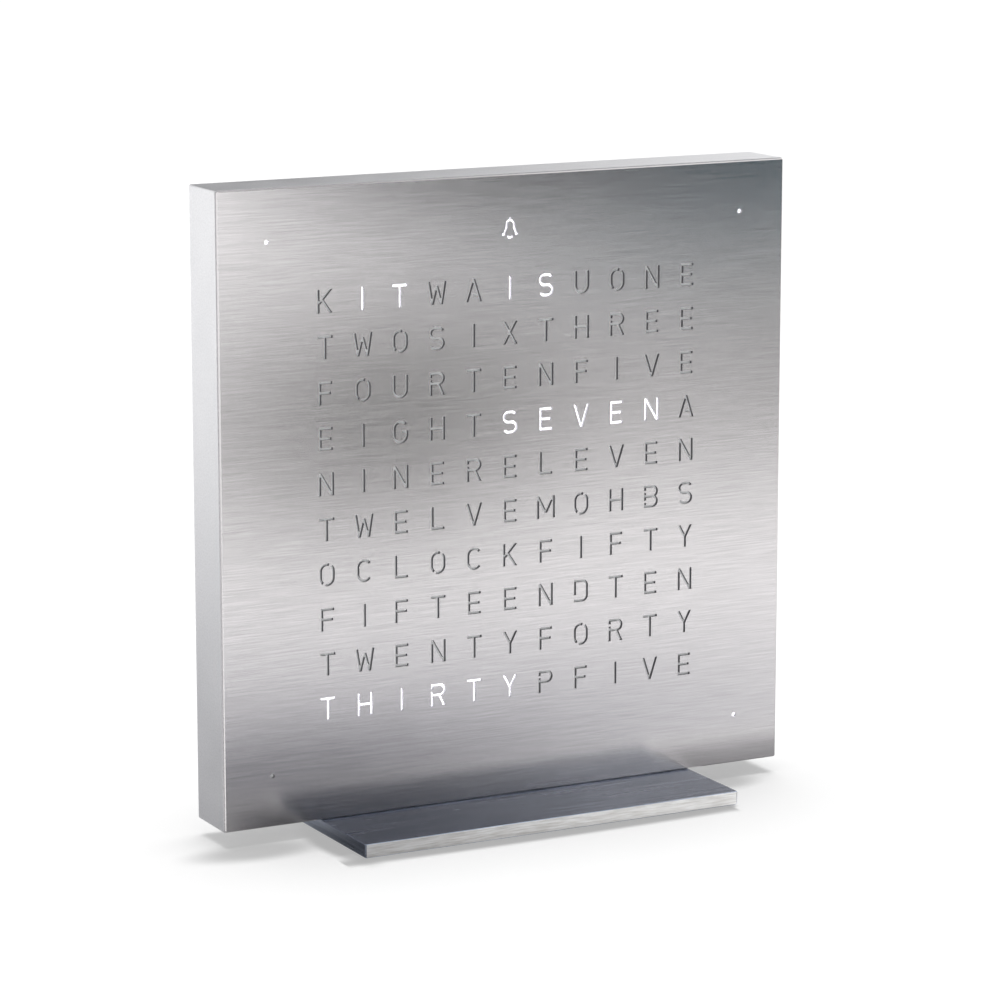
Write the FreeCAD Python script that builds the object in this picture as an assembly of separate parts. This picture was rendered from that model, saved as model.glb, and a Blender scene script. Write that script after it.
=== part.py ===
import FreeCAD, Part
import math
import os

os.makedirs("parts", exist_ok=True)

Vec = FreeCAD.Vector

# A table clock that tells the time in lit words. A square, flat body stands upright on a
# low base plate. Its steel front is a stencil of letters, and a lamp board glows behind it.
#
# Frame: millimetres, +Z up, the face looks towards -Y. The origin is on the ground, under
# the middle of the clock. The body is drawn about the middle of its face and then lifted
# onto its base, so every z in the body's functions counts from the middle of the face.

tolerance = 0.01         # a point nearer than this to a face or side counts as on it

# ---- Face and letter field ------------------------------------------------------------
body_side = 135.0        # the body is square
face_margin = 24.15      # outermost letter centres to the edges of the body
letter_rows = [
    "KITWAISUONE",
    "TWOSIXTHREE",
    "FOURTENFIVE",
    "EIGHTSEVENA",
    "NINERELEVEN",
    "TWELVEMOHBS",
    "OCLOCKFIFTY",
    "FIFTEENDTEN",
    "TWENTYFORTY",
    "THIRTYPFIVE",
]

letter_height = 4.9
letter_width = 3.5
narrow_width = 3.1       # E, F, L
broad_width = 3.8        # A, V, X, Y
wide_width = 4.4         # M, W
stroke = 0.55            # width of the letters' slots
bridge = 0.5             # metal left standing where a slot would close on itself

dot_diameter = 1.0       # minute dots, one near each corner
dot_inset = 11.1         # dot centres to the edges of the body
bell_inset = 11.3        # middle of the alarm bell to the top of the body
bell_stroke = 0.42       # width of the bell's slots
bell_width = 3.8         # across the brim
bell_dome = 2.2          # outer width of the bell's dome
bell_height = 3.4        # brim to the top of the dome
bell_side = 0.7          # straight sides below the dome
bell_brim = 0.75         # length of each half of the brim
bell_knob = 0.4          # knob above the dome
clapper_width = 1.5

# ---- Front cover and light path, from the front to the back ---------------------------
cover_thick = 0.8
cover_step = 0.15        # the cover's edges stand this far inside the frame's
cover_chamfer = 0.2
corner_radius = 0.4      # the four corners of the body, seen from the front
diffuser_thick = 0.5
grid_depth = 5.6
grid_wall = 0.8          # between two neighbouring light cells
dot_cell = 4.0
bell_cell_height = 6.4
sheet_gap = 0.15         # round the diffuser and the light grid
lamp_board_thick = 1.0
lamp_size = 1.6
lamp_height = 0.7

# ---- Frame ----------------------------------------------------------------------------
wall = 3.5
head_room = 0.2          # round the heads of the lamp board's screws
rear_edge = 0.3          # chamfer round the back of the frame
board_gap = 0.3          # lamp board to the walls
post_size = 4.5          # corner posts that take the rear cover's screws
post_gap = 0.8           # lamp board to the corner posts
opening_radius = 3.0     # corners of the light opening

magnet_diameter = 5.0
magnet_thick = 2.4
magnet_gap = 0.05
magnet_offset = 11.0     # magnets beyond the lamp board's screws, along each side

# ---- Rear cover -----------------------------------------------------------------------
rear_thick = 1.5
rear_seat = 1.5          # width of the ledge that it lies on
rear_gap = 0.15
rear_cover_edge = 0.2
sound_hole = 1.0
sound_pitch = 2.2
sound_count = 3          # holes along each side of the square of sound holes

# ---- Screws: thread diameter, head diameter, head height, length under the head --------
small_thread = 2.0
small_head = 3.6
small_head_height = 1.2
lamp_screw_length = 4.0
lamp_screw_gap = 1.2     # heads of the lamp board's screws to the side of the controller board
board_screw_length = 2.1
rear_screw_length = 4.5
base_thread = 3.0
base_head = 5.8
base_head_height = 1.7
base_screw_length = 7.0
base_screw_pitch = 25.0
base_screw_count = 3
thread_gap = 0.05        # between a screw's shank and its tapped hole
pass_gap = 0.15          # between a screw's shank and a plain hole
socket_share = 0.5       # hex socket across flats, as a share of its head
socket_depth = 0.7
tap_extra = 0.5          # a tapped hole is this much deeper than its screw

# ---- Controller board -----------------------------------------------------------------
spacer_height = 1.4
spacer_diameter = 4.0
board_height = 38.0
board_margin = 5.7       # the parts beside the buttons to the board's ends
board_thick = 1.0
board_rise = 2.0         # controller board's lower edge above the pocket's bottom
spacer_inset = 3.0       # spacers to the board's edges
lid_gap = 0.2            # tallest part on the board to the rear cover
link_width = 20.0
link_height = 3.0
link_drop = 3.2          # board connector to the board's upper edge

processor_size = 9.0
processor_height = 1.0
part_gap = 0.8           # between neighbours on the controller board
clock_chip_width = 5.0
clock_chip_height = 4.0
crystal_width = 3.2
crystal_height = 1.5
crystal_thick = 0.8
tap_sensor_size = 3.0
regulator_size = 4.0
small_chip_thick = 0.9
choke_diameter = 5.0
choke_thick = 1.8
capacitor_length = 2.0
capacitor_width = 1.25
capacitor_thick = 1.2
capacitor_pitch = 3.4
capacitor_count = 4
buzzer_size = 9.0
buzzer_thick = 1.8
buzzer_port = 2.0

# ---- Lamp board, rear side ------------------------------------------------------------
driver_size = 6.0
driver_thick = 0.9
driver_pitch = 24.0
driver_count = 4
driver_rise = 22.0       # driver chips above the middle of the face
sensor_width = 2.0
sensor_height = 1.25
sensor_thick = 0.6
sensor_gap = 0.335       # light sensor to the side of the bell's light cell

cell_diameter = 12.5
cell_thick = 2.0
cell_gap = 0.1
holder_wall = 1.0
holder_floor = 0.3
clip_thick = 0.2
clip_width = 4.0
clip_foot = 2.0
cell_inset = 18.0        # middle of the cell to the frame's wall
cell_z = -6.0

# ---- Power inlet ----------------------------------------------------------------------
jack_size = 7.0
jack_nose = 6.4
jack_length = 11.0
jack_bore = 3.7
jack_bore_depth = 9.0
jack_pin_diameter = 1.3
jack_pin_setback = 1.0   # tip of the pin below the mouth
jack_gap = 0.3           # round the inlet in the boards and the light grid
nose_gap = 0.15          # round the inlet's nose in the rear cover

# ---- Buttons --------------------------------------------------------------------------
button_diameter = 7.0
button_gap = 0.15
button_proud = 0.6
button_pitch = 14.0
button_rise = 16.0       # buttons above the power inlet
button_travel = 0.3
button_edge = 0.25
flange_diameter = 9.0
flange_thick = 0.5
flange_gap = 0.05
stem_diameter = 1.6
stem_entry = 0.15        # how far the stem reaches into its switch at rest
switch_size = 4.6
switch_thick = 1.1
switch_well = 1.9        # width of the well that the stem presses into
switch_well_depth = 0.65

# ---- Base -----------------------------------------------------------------------------
base_width = 90.0
base_depth = 56.0
base_thick = 3.0
base_corner = 0.5
base_edge = 0.15
pad_thick = 0.5
pad_inset = 3.0

# ---- Worked out from the sizes above --------------------------------------------------
columns = len(letter_rows[0])
rows = len(letter_rows)
field_side = body_side - 2 * face_margin
column_pitch = field_side / (columns - 1)
row_pitch = field_side / (rows - 1)
cover_side = body_side - 2 * cover_step

shelf = small_head + 2 * head_room
light_side = body_side - 2 * (wall + shelf)
pocket_side = body_side - 2 * wall
rear_side = pocket_side + 2 * rear_seat

button_stack = switch_thick + flange_gap + button_travel + flange_thick + flange_gap
tallest_part = max(choke_thick, buzzer_thick, capacitor_thick, processor_height, button_stack)
lid_space = max(tallest_part + lid_gap, small_head_height + lid_gap)
bay_depth = spacer_height + board_thick + lid_space
body_depth = (cover_thick + diffuser_thick + grid_depth + lamp_board_thick + bay_depth
              + rear_thick)

front_y = -body_depth / 2
cover_back = front_y + cover_thick
diffuser_back = cover_back + diffuser_thick
lamp_board_front = diffuser_back + grid_depth
lamp_board_back = lamp_board_front + lamp_board_thick
board_front = lamp_board_back + spacer_height
board_back = board_front + board_thick
rear_inside = board_back + lid_space
rear_y = rear_inside + rear_thick

rim_middle = body_side / 2 - (wall + shelf) / 2
shelf_middle = body_side / 2 - wall - shelf / 2
post_middle = pocket_side / 2 - post_size / 2
board_width = 2 * (button_pitch + flange_diameter / 2 + part_gap + buzzer_size + board_margin)
lamp_screw_place = board_width / 2 + lamp_screw_gap + small_head / 2
magnet_place = lamp_screw_place + magnet_offset
dot_place = body_side / 2 - dot_inset
bell_place = body_side / 2 - bell_inset
bell_cell_width = column_pitch - grid_wall
sensor_x = bell_cell_width / 2 - sensor_gap - sensor_width / 2
cell_x = cell_inset - pocket_side / 2
jack_place = -(light_side / 2 - jack_size / 2 - jack_gap - sheet_gap)
button_place = jack_place + button_rise
board_bottom = -pocket_side / 2 + board_rise
board_top = board_bottom + board_height
base_screw_y = (cover_back + lamp_board_front) / 2
body_bottom = pad_thick + base_thick
face_middle = body_bottom + body_side / 2


# ---- Shapes shared by the pieces ------------------------------------------------------
def block(x, z, width, height, y0, y1):
    """A block centred on (x, z), from depth y0 to y1."""
    corner = Vec(x - width / 2, y0, z - height / 2)
    return Part.makeBox(width, y1 - y0, height, corner)


def disc(x, z, diameter, y0, y1):
    """A round bar along Y centred on (x, z), from depth y0 to y1."""
    return Part.makeCylinder(diameter / 2, y1 - y0, Vec(x, y0, z), Vec(0, 1, 0))


def circle(x, z, diameter):
    """A circle in the plane y = 0."""
    return Part.Wire(Part.makeCircle(diameter / 2, Vec(x, 0, z), Vec(0, 1, 0)))


def square(x, z, width, height, radius=0.0):
    """A rectangle in the plane y = 0, with round corners if a radius is given."""
    radius = min(radius, width / 2.01, height / 2.01)
    if radius <= 0:
        return polygon([
            (x - width / 2, z - height / 2),
            (x + width / 2, z - height / 2),
            (x + width / 2, z + height / 2),
            (x - width / 2, z + height / 2),
        ])
    edges = []
    run_x = width / 2 - radius
    run_z = height / 2 - radius
    for quarter in range(4):
        turn = math.radians(90 * quarter)
        side = 1 if quarter in (0, 3) else -1
        level = 1 if quarter in (0, 1) else -1
        centre = Vec(x + side * run_x, 0, z + level * run_z)
        ends = [centre + swing(radius, turn + step * math.pi / 4) for step in range(3)]
        edges.append(Part.Arc(*ends).toShape())
    corners = list(edges)
    for arc, following in zip(corners, corners[1:] + corners[:1]):
        start = arc.Vertexes[-1].Point
        end = following.Vertexes[0].Point
        edges.append(Part.LineSegment(start, end).toShape())
    return Part.Wire(Part.__sortEdges__(edges))


def polygon(points):
    """A closed outline through (x, z) points in the plane y = 0."""
    corners = [Vec(x, 0, z) for x, z in points]
    return Part.makePolygon(corners + corners[:1])


def swing(radius, angle):
    """The step from a centre to a point on its circle, by an angle in radians."""
    return Vec(radius * math.cos(angle), 0, radius * math.sin(angle))


def sheet(outline, holes, y0, y1):
    """A flat plate with through holes, from depth y0 to y1."""
    face = Part.makeFace([outline] + holes, "Part::FaceMakerBullseye")
    face.translate(Vec(0, y0, 0))
    return face.extrude(Vec(0, y1 - y0, 0))


def four_ways(place, other):
    """The eight places that lie `place` off the middle along one axis and `other` along
    the other, on all four sides of a square."""
    found = []
    for a in (-1, 1):
        for b in (-1, 1):
            found.append((a * place, b * other))
            found.append((b * other, a * place))
    return found


def corners_at(x, z):
    """Four mirrored places."""
    return [(-x, -z), (x, -z), (x, z), (-x, z)]


def along(count, pitch):
    """Places of `count` things at one pitch, centred on zero."""
    return [(number - (count - 1) / 2) * pitch for number in range(count)]


def edges_at(shape, test):
    """The edges of a shape whose every corner passes a test."""
    return [edge for edge in shape.Edges if all(test(v.Point) for v in edge.Vertexes)]


def rim_at(plate, side, y):
    """The outer edges of a square plate at depth y."""
    return edges_at(plate, lambda p: abs(p.y - y) < tolerance
                    and max(abs(p.x), abs(p.z)) > side / 2 - tolerance)


def group(solids):
    """Separate solids of one kind, kept as one node."""
    return Part.makeCompound(solids)


# ---- Letters: strokes of one width, ends cut square -----------------------------------
# A letter is drawn from (0, 0) at the middle of its foot. Strokes are flat faces that are
# joined into the outline of each slot. No slot closes on itself, so no island falls out.
mean_bow = letter_width / 2
bowl = (letter_height + stroke) / 4      # outer radius of the bowls of B, P, R and S
left = -letter_width / 2
right = letter_width / 2
cap = letter_height - stroke             # underside of a stroke at the letter's top
waist = letter_height / 2 - stroke / 2


def post(x, z0=0.0, z1=letter_height, thick=stroke):
    """An upright stroke with its left side at x."""
    return Part.Face(polygon([(x, z0), (x + thick, z0), (x + thick, z1), (x, z1)]))


def beam(z, x0, x1, thick=stroke):
    """A level stroke with its lower side at z."""
    return Part.Face(polygon([(x0, z), (x1, z), (x1, z + thick), (x0, z + thick)]))


def lean(width, z0=0.0, z1=letter_height, thick=stroke):
    """Half the level width of a stroke that leans by `width` between z0 and z1."""
    return thick / 2 * math.hypot(1.0, width / (z1 - z0))


def slant(x0, z0, x1, z1, thick=stroke):
    """A leaning stroke between two points, with level ends."""
    half = lean(x1 - x0, z0, z1, thick)
    return Part.Face(polygon([(x0 - half, z0), (x0 + half, z0), (x1 + half, z1), (x1 - half, z1)]))


def bow(x, z, radius, start, end, thick=stroke):
    """A round stroke about (x, z), its outside at radius, between two angles in degrees."""
    angles = [math.radians(start + (end - start) * step / 2) for step in range(3)]
    centre = Vec(x, 0, z)
    outside = [centre + swing(radius, angle) for angle in angles]
    inside = [centre + swing(radius - thick, angle) for angle in angles]
    edges = [
        Part.Arc(*outside).toShape(),
        Part.LineSegment(outside[2], inside[2]).toShape(),
        Part.Arc(*reversed(inside)).toShape(),
        Part.LineSegment(inside[0], outside[0]).toShape(),
    ]
    return Part.Face(Part.Wire(edges))


def bowl_at(z):
    """The right-hand bowl of B, P and R, standing on height z."""
    turn = right - bowl
    return [
        beam(z, left, turn),
        bow(turn, z + bowl, bowl, -90, 90),
        beam(z + 2 * bowl - stroke, left, turn),
    ]


def broken_post(*gaps):
    """The left-hand post, with a bridge of metal at each height in gaps."""
    ends = [0.0]
    for gap in gaps:
        ends += [gap - bridge / 2, gap + bridge / 2]
    ends.append(letter_height)
    return [post(left, ends[i], ends[i + 1]) for i in range(0, len(ends), 2)]


upper_bowl = letter_height - 2 * bowl
upper_gap = upper_bowl + bowl
lower_gap = bowl
round_top = letter_height - mean_bow
broad_foot = broad_width / 2 - lean(broad_width / 2 - stroke / 2)
cross_reach = letter_width / 2 - lean(letter_width - stroke)
vee_foot = 1.2           # lowest point of the V inside M
vee_reach = wide_width / 2 - lean(wide_width / 2 - stroke / 2, vee_foot)
peak_drop = 0.9          # middle peak of W below the letter's top
wide_step = wide_width / 4
wide_reach = wide_width / 2 - lean(wide_step)
fork = 2.2               # where the arms of Y meet
bar_height = 1.15        # crossbar of A
bar_start = -0.2         # its left end, which leaves a bridge of metal beside the left leg
mouth = 35               # C and G open this many degrees above and below their middle
hook = 30                # the S's bows end this many degrees past their middle
gap_start = 50           # first bridge in the O's outline, in degrees
gap_sweep = 22
arm_foot = 1.9           # where K's arm leaves its post
leg_top = 2.8            # where K's leg meets its arm
arm_start = left + lean(letter_width - stroke, arm_foot)
arm_reach = right - lean(letter_width - stroke, arm_foot)
arm_slope = (arm_reach - arm_start) / (letter_height - arm_foot)
leg_reach = right - lean(right - stroke, 0, upper_bowl)

strokes_of = {
    "A": [
        slant(-broad_foot, 0, 0, letter_height),
        slant(broad_foot, 0, 0, letter_height),
        beam(bar_height, bar_start, broad_foot * (1 - (bar_height + stroke) / letter_height)),
    ],
    "B": broken_post(lower_gap, upper_gap) + bowl_at(0) + bowl_at(upper_bowl),
    "C": [
        bow(0, round_top, mean_bow, mouth, 180),
        post(left, mean_bow, round_top),
        bow(0, mean_bow, mean_bow, 180, 360 - mouth),
    ],
    "D": [
        post(left, stroke + 2 * bridge, letter_height),
        beam(cap, left, right - bowl),
        bow(right - bowl, letter_height - bowl, bowl, 0, 90),
        post(right - stroke, bowl, letter_height - bowl),
        bow(right - bowl, bowl, bowl, -90, 0),
        beam(0, left, right - bowl),
    ],
    "E": [
        post(-narrow_width / 2),
        beam(0, -narrow_width / 2, narrow_width / 2),
        beam(waist, -narrow_width / 2, narrow_width / 2 - stroke / 2),
        beam(cap, -narrow_width / 2, narrow_width / 2),
    ],
    "F": [
        post(-narrow_width / 2),
        beam(waist, -narrow_width / 2, narrow_width / 2 - stroke / 2),
        beam(cap, -narrow_width / 2, narrow_width / 2),
    ],
    "G": [
        bow(0, round_top, mean_bow, mouth, 180),
        post(left, mean_bow, round_top),
        bow(0, mean_bow, mean_bow, 180, 360),
        post(right - stroke, mean_bow, waist + stroke),
        beam(waist, stroke / 2, right),
    ],
    "H": [post(left), post(right - stroke), beam(waist, left, right)],
    "I": [post(-stroke / 2)],
    "K": [
        post(left),
        slant(arm_start, arm_foot, arm_reach, letter_height),
        slant(arm_reach, 0, arm_start + arm_slope * (leg_top - arm_foot), leg_top),
    ],
    "L": [post(-narrow_width / 2), beam(0, -narrow_width / 2, narrow_width / 2)],
    "M": [
        post(-wide_width / 2),
        post(wide_width / 2 - stroke),
        slant(0, vee_foot, -vee_reach, letter_height),
        slant(0, vee_foot, vee_reach, letter_height),
    ],
    "N": [
        post(left),
        post(right - stroke),
        slant(cross_reach, 0, -cross_reach, letter_height),
    ],
    "O": [
        bow(0, round_top, mean_bow, gap_start + gap_sweep, 180),
        post(left, mean_bow, round_top),
        bow(0, mean_bow, mean_bow, 180, 180 + gap_start),
        bow(0, mean_bow, mean_bow, 180 + gap_start + gap_sweep, 360),
        post(right - stroke, mean_bow, round_top),
        bow(0, round_top, mean_bow, 0, gap_start),
    ],
    "P": broken_post(upper_gap) + bowl_at(upper_bowl),
    "R": broken_post(upper_gap) + bowl_at(upper_bowl) + [
        slant(leg_reach, 0, stroke / 2, upper_bowl + stroke / 2),
    ],
    "S": [
        bow(right - bowl, letter_height - bowl, bowl, hook, 90),
        beam(cap, left + bowl, right - bowl),
        bow(left + bowl, letter_height - bowl, bowl, 90, 270),
        beam(waist, left + bowl, right - bowl),
        bow(right - bowl, bowl, bowl, -90, 90),
        beam(0, left + bowl, right - bowl),
        bow(left + bowl, bowl, bowl, 180 + hook, 270),
    ],
    "T": [post(-stroke / 2), beam(cap, left, right)],
    "U": [
        post(left, mean_bow),
        bow(0, mean_bow, mean_bow, 180, 360),
        post(right - stroke, mean_bow),
    ],
    "V": [
        slant(0, 0, -broad_foot, letter_height),
        slant(0, 0, broad_foot, letter_height),
    ],
    "W": [
        slant(-wide_step, 0, -wide_reach, letter_height),
        slant(-wide_step, 0, 0, letter_height - peak_drop),
        slant(wide_step, 0, 0, letter_height - peak_drop),
        slant(wide_step, 0, wide_reach, letter_height),
    ],
    "X": [
        slant(-cross_reach, 0, cross_reach, letter_height),
        slant(cross_reach, 0, -cross_reach, letter_height),
    ],
    "Y": [
        post(-stroke / 2, 0, fork + stroke),
        slant(0, fork, -cross_reach, letter_height),
        slant(0, fork, cross_reach, letter_height),
    ],
}


def outlines(strokes):
    """The outline of each separate slot that a set of touching strokes makes."""
    bars = [stroke_face.extrude(Vec(0, stroke, 0)) for stroke_face in strokes]
    joined = bars[0].multiFuse(bars[1:]).removeSplitter() if len(bars) > 1 else bars[0]
    return [face.OuterWire for face in joined.Faces if face.BoundBox.YMax < tolerance]


def moved(wires, x, z):
    """Copies of some outlines, shifted in the plane of the face."""
    copies = []
    for wire in wires:
        copy = wire.copy()
        copy.translate(Vec(x, 0, z))
        copies.append(copy)
    return copies


def bell_strokes():
    """An alarm bell, centred on (0, 0): a dome with flared sides and a brim that is open in
    the middle, a knob on top and a clapper below."""
    thick = bell_stroke
    dome = bell_dome / 2
    brim = -bell_height / 2
    crown = bell_height / 2 - dome
    flare = crown - bell_side
    brim_x = bell_width / 2 - lean(bell_width / 2 - dome, brim, flare, thick)
    side_x = dome - thick / 2
    return [
        bow(0, crown, dome, 0, 180, thick),
        post(-thick / 2, crown + dome - thick / 2, crown + dome + bell_knob, thick),
        post(-dome, flare, crown, thick),
        post(dome - thick, flare, crown, thick),
        slant(-brim_x, brim, -side_x, flare, thick),
        slant(brim_x, brim, side_x, flare, thick),
        beam(brim, -bell_width / 2, bell_brim - bell_width / 2, thick),
        beam(brim, bell_width / 2 - bell_brim, bell_width / 2, thick),
        bow(0, brim, clapper_width / 2, 180, 360, thick),
    ]


def cell_places():
    """Centres of the letters, row by row from the top left."""
    return [(x, z) for z in reversed(along(rows, row_pitch)) for x in along(columns, column_pitch)]


dot_places = corners_at(dot_place, dot_place)
magnet_places = four_ways(rim_middle, magnet_place)
lamp_screw_places = four_ways(shelf_middle, lamp_screw_place)
post_places = corners_at(post_middle, post_middle)
button_places = [(x, button_place) for x in along(3, button_pitch)]
spacer_x = board_width / 2 - spacer_inset
spacer_places = [
    (x, z)
    for x in (-spacer_x, spacer_x)
    for z in (board_bottom + spacer_inset, board_top - spacer_inset)
]
buzzer_place = (-(button_pitch + flange_diameter / 2 + part_gap + buzzer_size / 2), button_place)
processor_x = button_pitch + flange_diameter / 2 + part_gap + processor_size / 2
clock_chip_z = button_place - processor_size / 2 - part_gap - clock_chip_height / 2
crystal_z = clock_chip_z - clock_chip_height / 2 - part_gap - crystal_height / 2
regulator_x = jack_size / 2 + jack_gap + part_gap + regulator_size / 2
choke_x = regulator_x + regulator_size / 2 + part_gap + choke_diameter / 2
capacitor_z = jack_place + choke_diameter / 2 + part_gap + capacitor_width / 2


# ---- Screws ---------------------------------------------------------------------------
def pan_screw(x, z, seat, length):
    """A pan-head screw driven from behind into -Y, its head's underside at depth seat."""
    head = disc(x, z, small_head, seat, seat + small_head_height)
    crown = edges_at(head, lambda p: p.y > seat + small_head_height / 2)
    head = head.makeFillet(small_head_height / 4, crown)
    shank = disc(x, z, small_thread - 2 * thread_gap, seat - length, seat)
    top = seat + small_head_height
    return head.fuse(shank).removeSplitter().cut(hex_socket(x, z, small_head, top))


def hex_socket(x, z, head, top):
    """The key's socket in a screw head whose top is at depth top."""
    reach = head * socket_share / math.sqrt(3)
    corners = [swing(reach, math.radians(60 * side)) for side in range(6)]
    face = Part.Face(polygon([(x + corner.x, z + corner.z) for corner in corners]))
    face.translate(Vec(0, top, 0))
    return face.extrude(Vec(0, -socket_depth, 0))


def flush_screw(thread, head, head_height, length):
    """A countersunk screw along +Z with the top of its head at the origin."""
    shank = Part.makeCylinder(thread / 2 - thread_gap, length, Vec(0, 0, 0), Vec(0, 0, -1))
    cone = Part.makeCone(head / 2, thread / 2 - thread_gap, head_height,
                         Vec(0, 0, 0), Vec(0, 0, -1))
    reach = head * socket_share / math.sqrt(3)
    corners = [Vec(reach * math.cos(math.radians(60 * side)),
                   reach * math.sin(math.radians(60 * side)), 0) for side in range(6)]
    socket = Part.Face(Part.makePolygon(corners + corners[:1])).extrude(Vec(0, 0, -socket_depth))
    return cone.fuse(shank).removeSplitter().cut(socket)


def sink(thread, head, head_height, thick):
    """The hole for a countersunk screw along +Z, from its head's top down through a plate."""
    hole = Part.makeCylinder(thread / 2 + pass_gap, thick, Vec(0, 0, 0), Vec(0, 0, -1))
    cone = Part.makeCone(head / 2 + pass_gap, thread / 2 + pass_gap, head_height,
                         Vec(0, 0, 0), Vec(0, 0, -1))
    return hole.fuse(cone)


def faced_back(shape, x, z, y):
    """Turns a shape drawn along +Z to look along +Y, and sets it at (x, y, z)."""
    shape.rotate(Vec(0, 0, 0), Vec(1, 0, 0), -90)
    shape.translate(Vec(x, y, z))
    return shape


def faced_down(shape, x, y, z):
    """Turns a shape drawn along +Z to look down, and sets it at (x, y, z)."""
    shape.rotate(Vec(0, 0, 0), Vec(1, 0, 0), 180)
    shape.translate(Vec(x, y, z))
    return shape


# ---- Front and light path -------------------------------------------------------------
def front_cover():
    """Brushed steel sheet with the letters, the bell and the minute dots cut through it."""
    slots_of = {letter: outlines(strokes) for letter, strokes in strokes_of.items()}
    slots = []
    for letter, (x, z) in zip("".join(letter_rows), cell_places()):
        slots += moved(slots_of[letter], x, z - letter_height / 2)
    slots += moved(outlines(bell_strokes()), 0, bell_place)
    slots += [circle(x, z, dot_diameter) for x, z in dot_places]
    edge = square(0, 0, cover_side, cover_side, corner_radius)
    plate = sheet(edge, slots, front_y, cover_back)
    return plate.makeChamfer(min(cover_chamfer, cover_thick / 2), rim_at(plate, cover_side, front_y))


def cover_magnets():
    """Disc magnets in the frame's rim that hold the steel cover."""
    return group([disc(x, z, magnet_diameter, cover_back, cover_back + magnet_thick)
                  for x, z in magnet_places])


def inner_outline():
    """Outline of what lies in the frame's light opening."""
    side = light_side - 2 * sheet_gap
    return square(0, 0, side, side, opening_radius - sheet_gap)


def diffuser():
    """Opal sheet that evens out the light behind the slots."""
    return sheet(inner_outline(), [], cover_back, diffuser_back)


def light_grid():
    """Moulded grid with one light cell behind each letter, dot and the bell."""
    cells = [(x, z, column_pitch - grid_wall, row_pitch - grid_wall) for x, z in cell_places()]
    cells += [(x, z, dot_cell, dot_cell) for x, z in dot_places]
    cells.append((0, bell_place, bell_cell_width, bell_cell_height))
    grid = sheet(inner_outline(), [], diffuser_back, lamp_board_front)
    grid = grid.cut([block(*cell, diffuser_back, lamp_board_front) for cell in cells])
    return grid.cut(jack_room(diffuser_back, lamp_board_front))


def jack_room(y0, y1):
    """The space round the power inlet, open downwards to the frame."""
    side = jack_size + 2 * jack_gap
    top = jack_place + side / 2
    bottom = -pocket_side / 2
    return block(0, (top + bottom) / 2, side, top - bottom, y0, y1)


def lamp_board():
    """Circuit board that carries every lamp, screwed to the shelf inside the frame."""
    side = pocket_side - 2 * board_gap
    hole = small_thread + 2 * pass_gap
    jack_side = jack_size + 2 * jack_gap
    holes = [circle(x, z, hole) for x, z in lamp_screw_places]
    holes.append(square(0, jack_place, jack_side, jack_side))
    board = sheet(square(0, 0, side, side), holes, lamp_board_front, lamp_board_back)
    notch = 2 * (post_size + post_gap)
    for x, z in corners_at(pocket_side / 2, pocket_side / 2):
        board = board.cut(block(x, z, notch, notch, lamp_board_front, lamp_board_back))
    return board


def lamp(x, z):
    """One lamp, soldered to the front of the lamp board."""
    return block(x, z, lamp_size, lamp_size, lamp_board_front - lamp_height, lamp_board_front)


def letter_lamps():
    return group([lamp(x, z) for x, z in cell_places()])


def minute_lamps():
    return group([lamp(x, z) for x, z in dot_places])


def alarm_lamp():
    return lamp(0, bell_place)


def light_sensor():
    """Reads the room's brightness through the bell's slots."""
    return block(sensor_x, bell_place, sensor_width, sensor_height,
                 lamp_board_front - sensor_thick, lamp_board_front)


def lamp_board_screws():
    return group([pan_screw(x, z, lamp_board_back, lamp_screw_length)
                  for x, z in lamp_screw_places])


def driver_chips():
    """Chips on the back of the lamp board that switch the lamps row by row."""
    return group([block(x, driver_rise, driver_size, driver_size,
                        lamp_board_back, lamp_board_back + driver_thick)
                  for x in along(driver_count, driver_pitch)])


# ---- Frame ----------------------------------------------------------------------------
def frame():
    """Bead-blasted aluminium frame: four walls, a shelf for the lamp board, corner posts,
    pockets for the magnets and tapped holes."""
    outline = square(0, 0, body_side, body_side, corner_radius)
    body = sheet(outline, [], cover_back, rear_y)
    body = body.makeChamfer(min(rear_edge, rear_thick / 2), rim_at(body, body_side, rear_y))
    opening = square(0, 0, light_side, light_side, opening_radius)
    body = body.cut(sheet(opening, [], cover_back, lamp_board_front))
    body = body.cut(block(0, 0, pocket_side, pocket_side, lamp_board_front, rear_inside))
    body = body.cut(block(0, 0, rear_side, rear_side, rear_inside, rear_y))
    for x, z in post_places:
        body = body.fuse(block(x, z, post_size, post_size, lamp_board_front, rear_inside))
    body = body.removeSplitter()
    holes = [disc(x, z, magnet_diameter + 2 * magnet_gap, cover_back,
                  cover_back + magnet_thick + magnet_gap) for x, z in magnet_places]
    holes += [disc(x, z, small_thread, lamp_board_back - lamp_screw_length - tap_extra,
                   lamp_board_front) for x, z in lamp_screw_places]
    holes += [disc(x, z, small_thread, rear_y - rear_screw_length - tap_extra, rear_inside)
              for x, z in post_places]
    depth = base_screw_length - base_thick + tap_extra
    holes += [Part.makeCylinder(base_thread / 2, depth, Vec(x, base_screw_y, -body_side / 2))
              for x in along(base_screw_count, base_screw_pitch)]
    return body.cut(holes)


# ---- Controller board and what it carries ---------------------------------------------
def on_board(x, z, width, height, thick):
    """A part soldered to the back of the controller board."""
    return block(x, z, width, height, board_back, board_back + thick)


def controller_board():
    """Small board behind the lamp board, notched round the power inlet."""
    middle = (board_top + board_bottom) / 2
    holes = [circle(x, z, small_thread + 2 * pass_gap) for x, z in spacer_places]
    board = sheet(square(0, middle, board_width, board_height), holes, board_front, board_back)
    return board.cut(jack_room(board_front, board_back))


def board_spacers():
    """Threaded spacers between the lamp board and the controller board."""
    return group([disc(x, z, spacer_diameter, lamp_board_back, board_front).cut(
        disc(x, z, small_thread, lamp_board_back, board_front)) for x, z in spacer_places])


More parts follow.
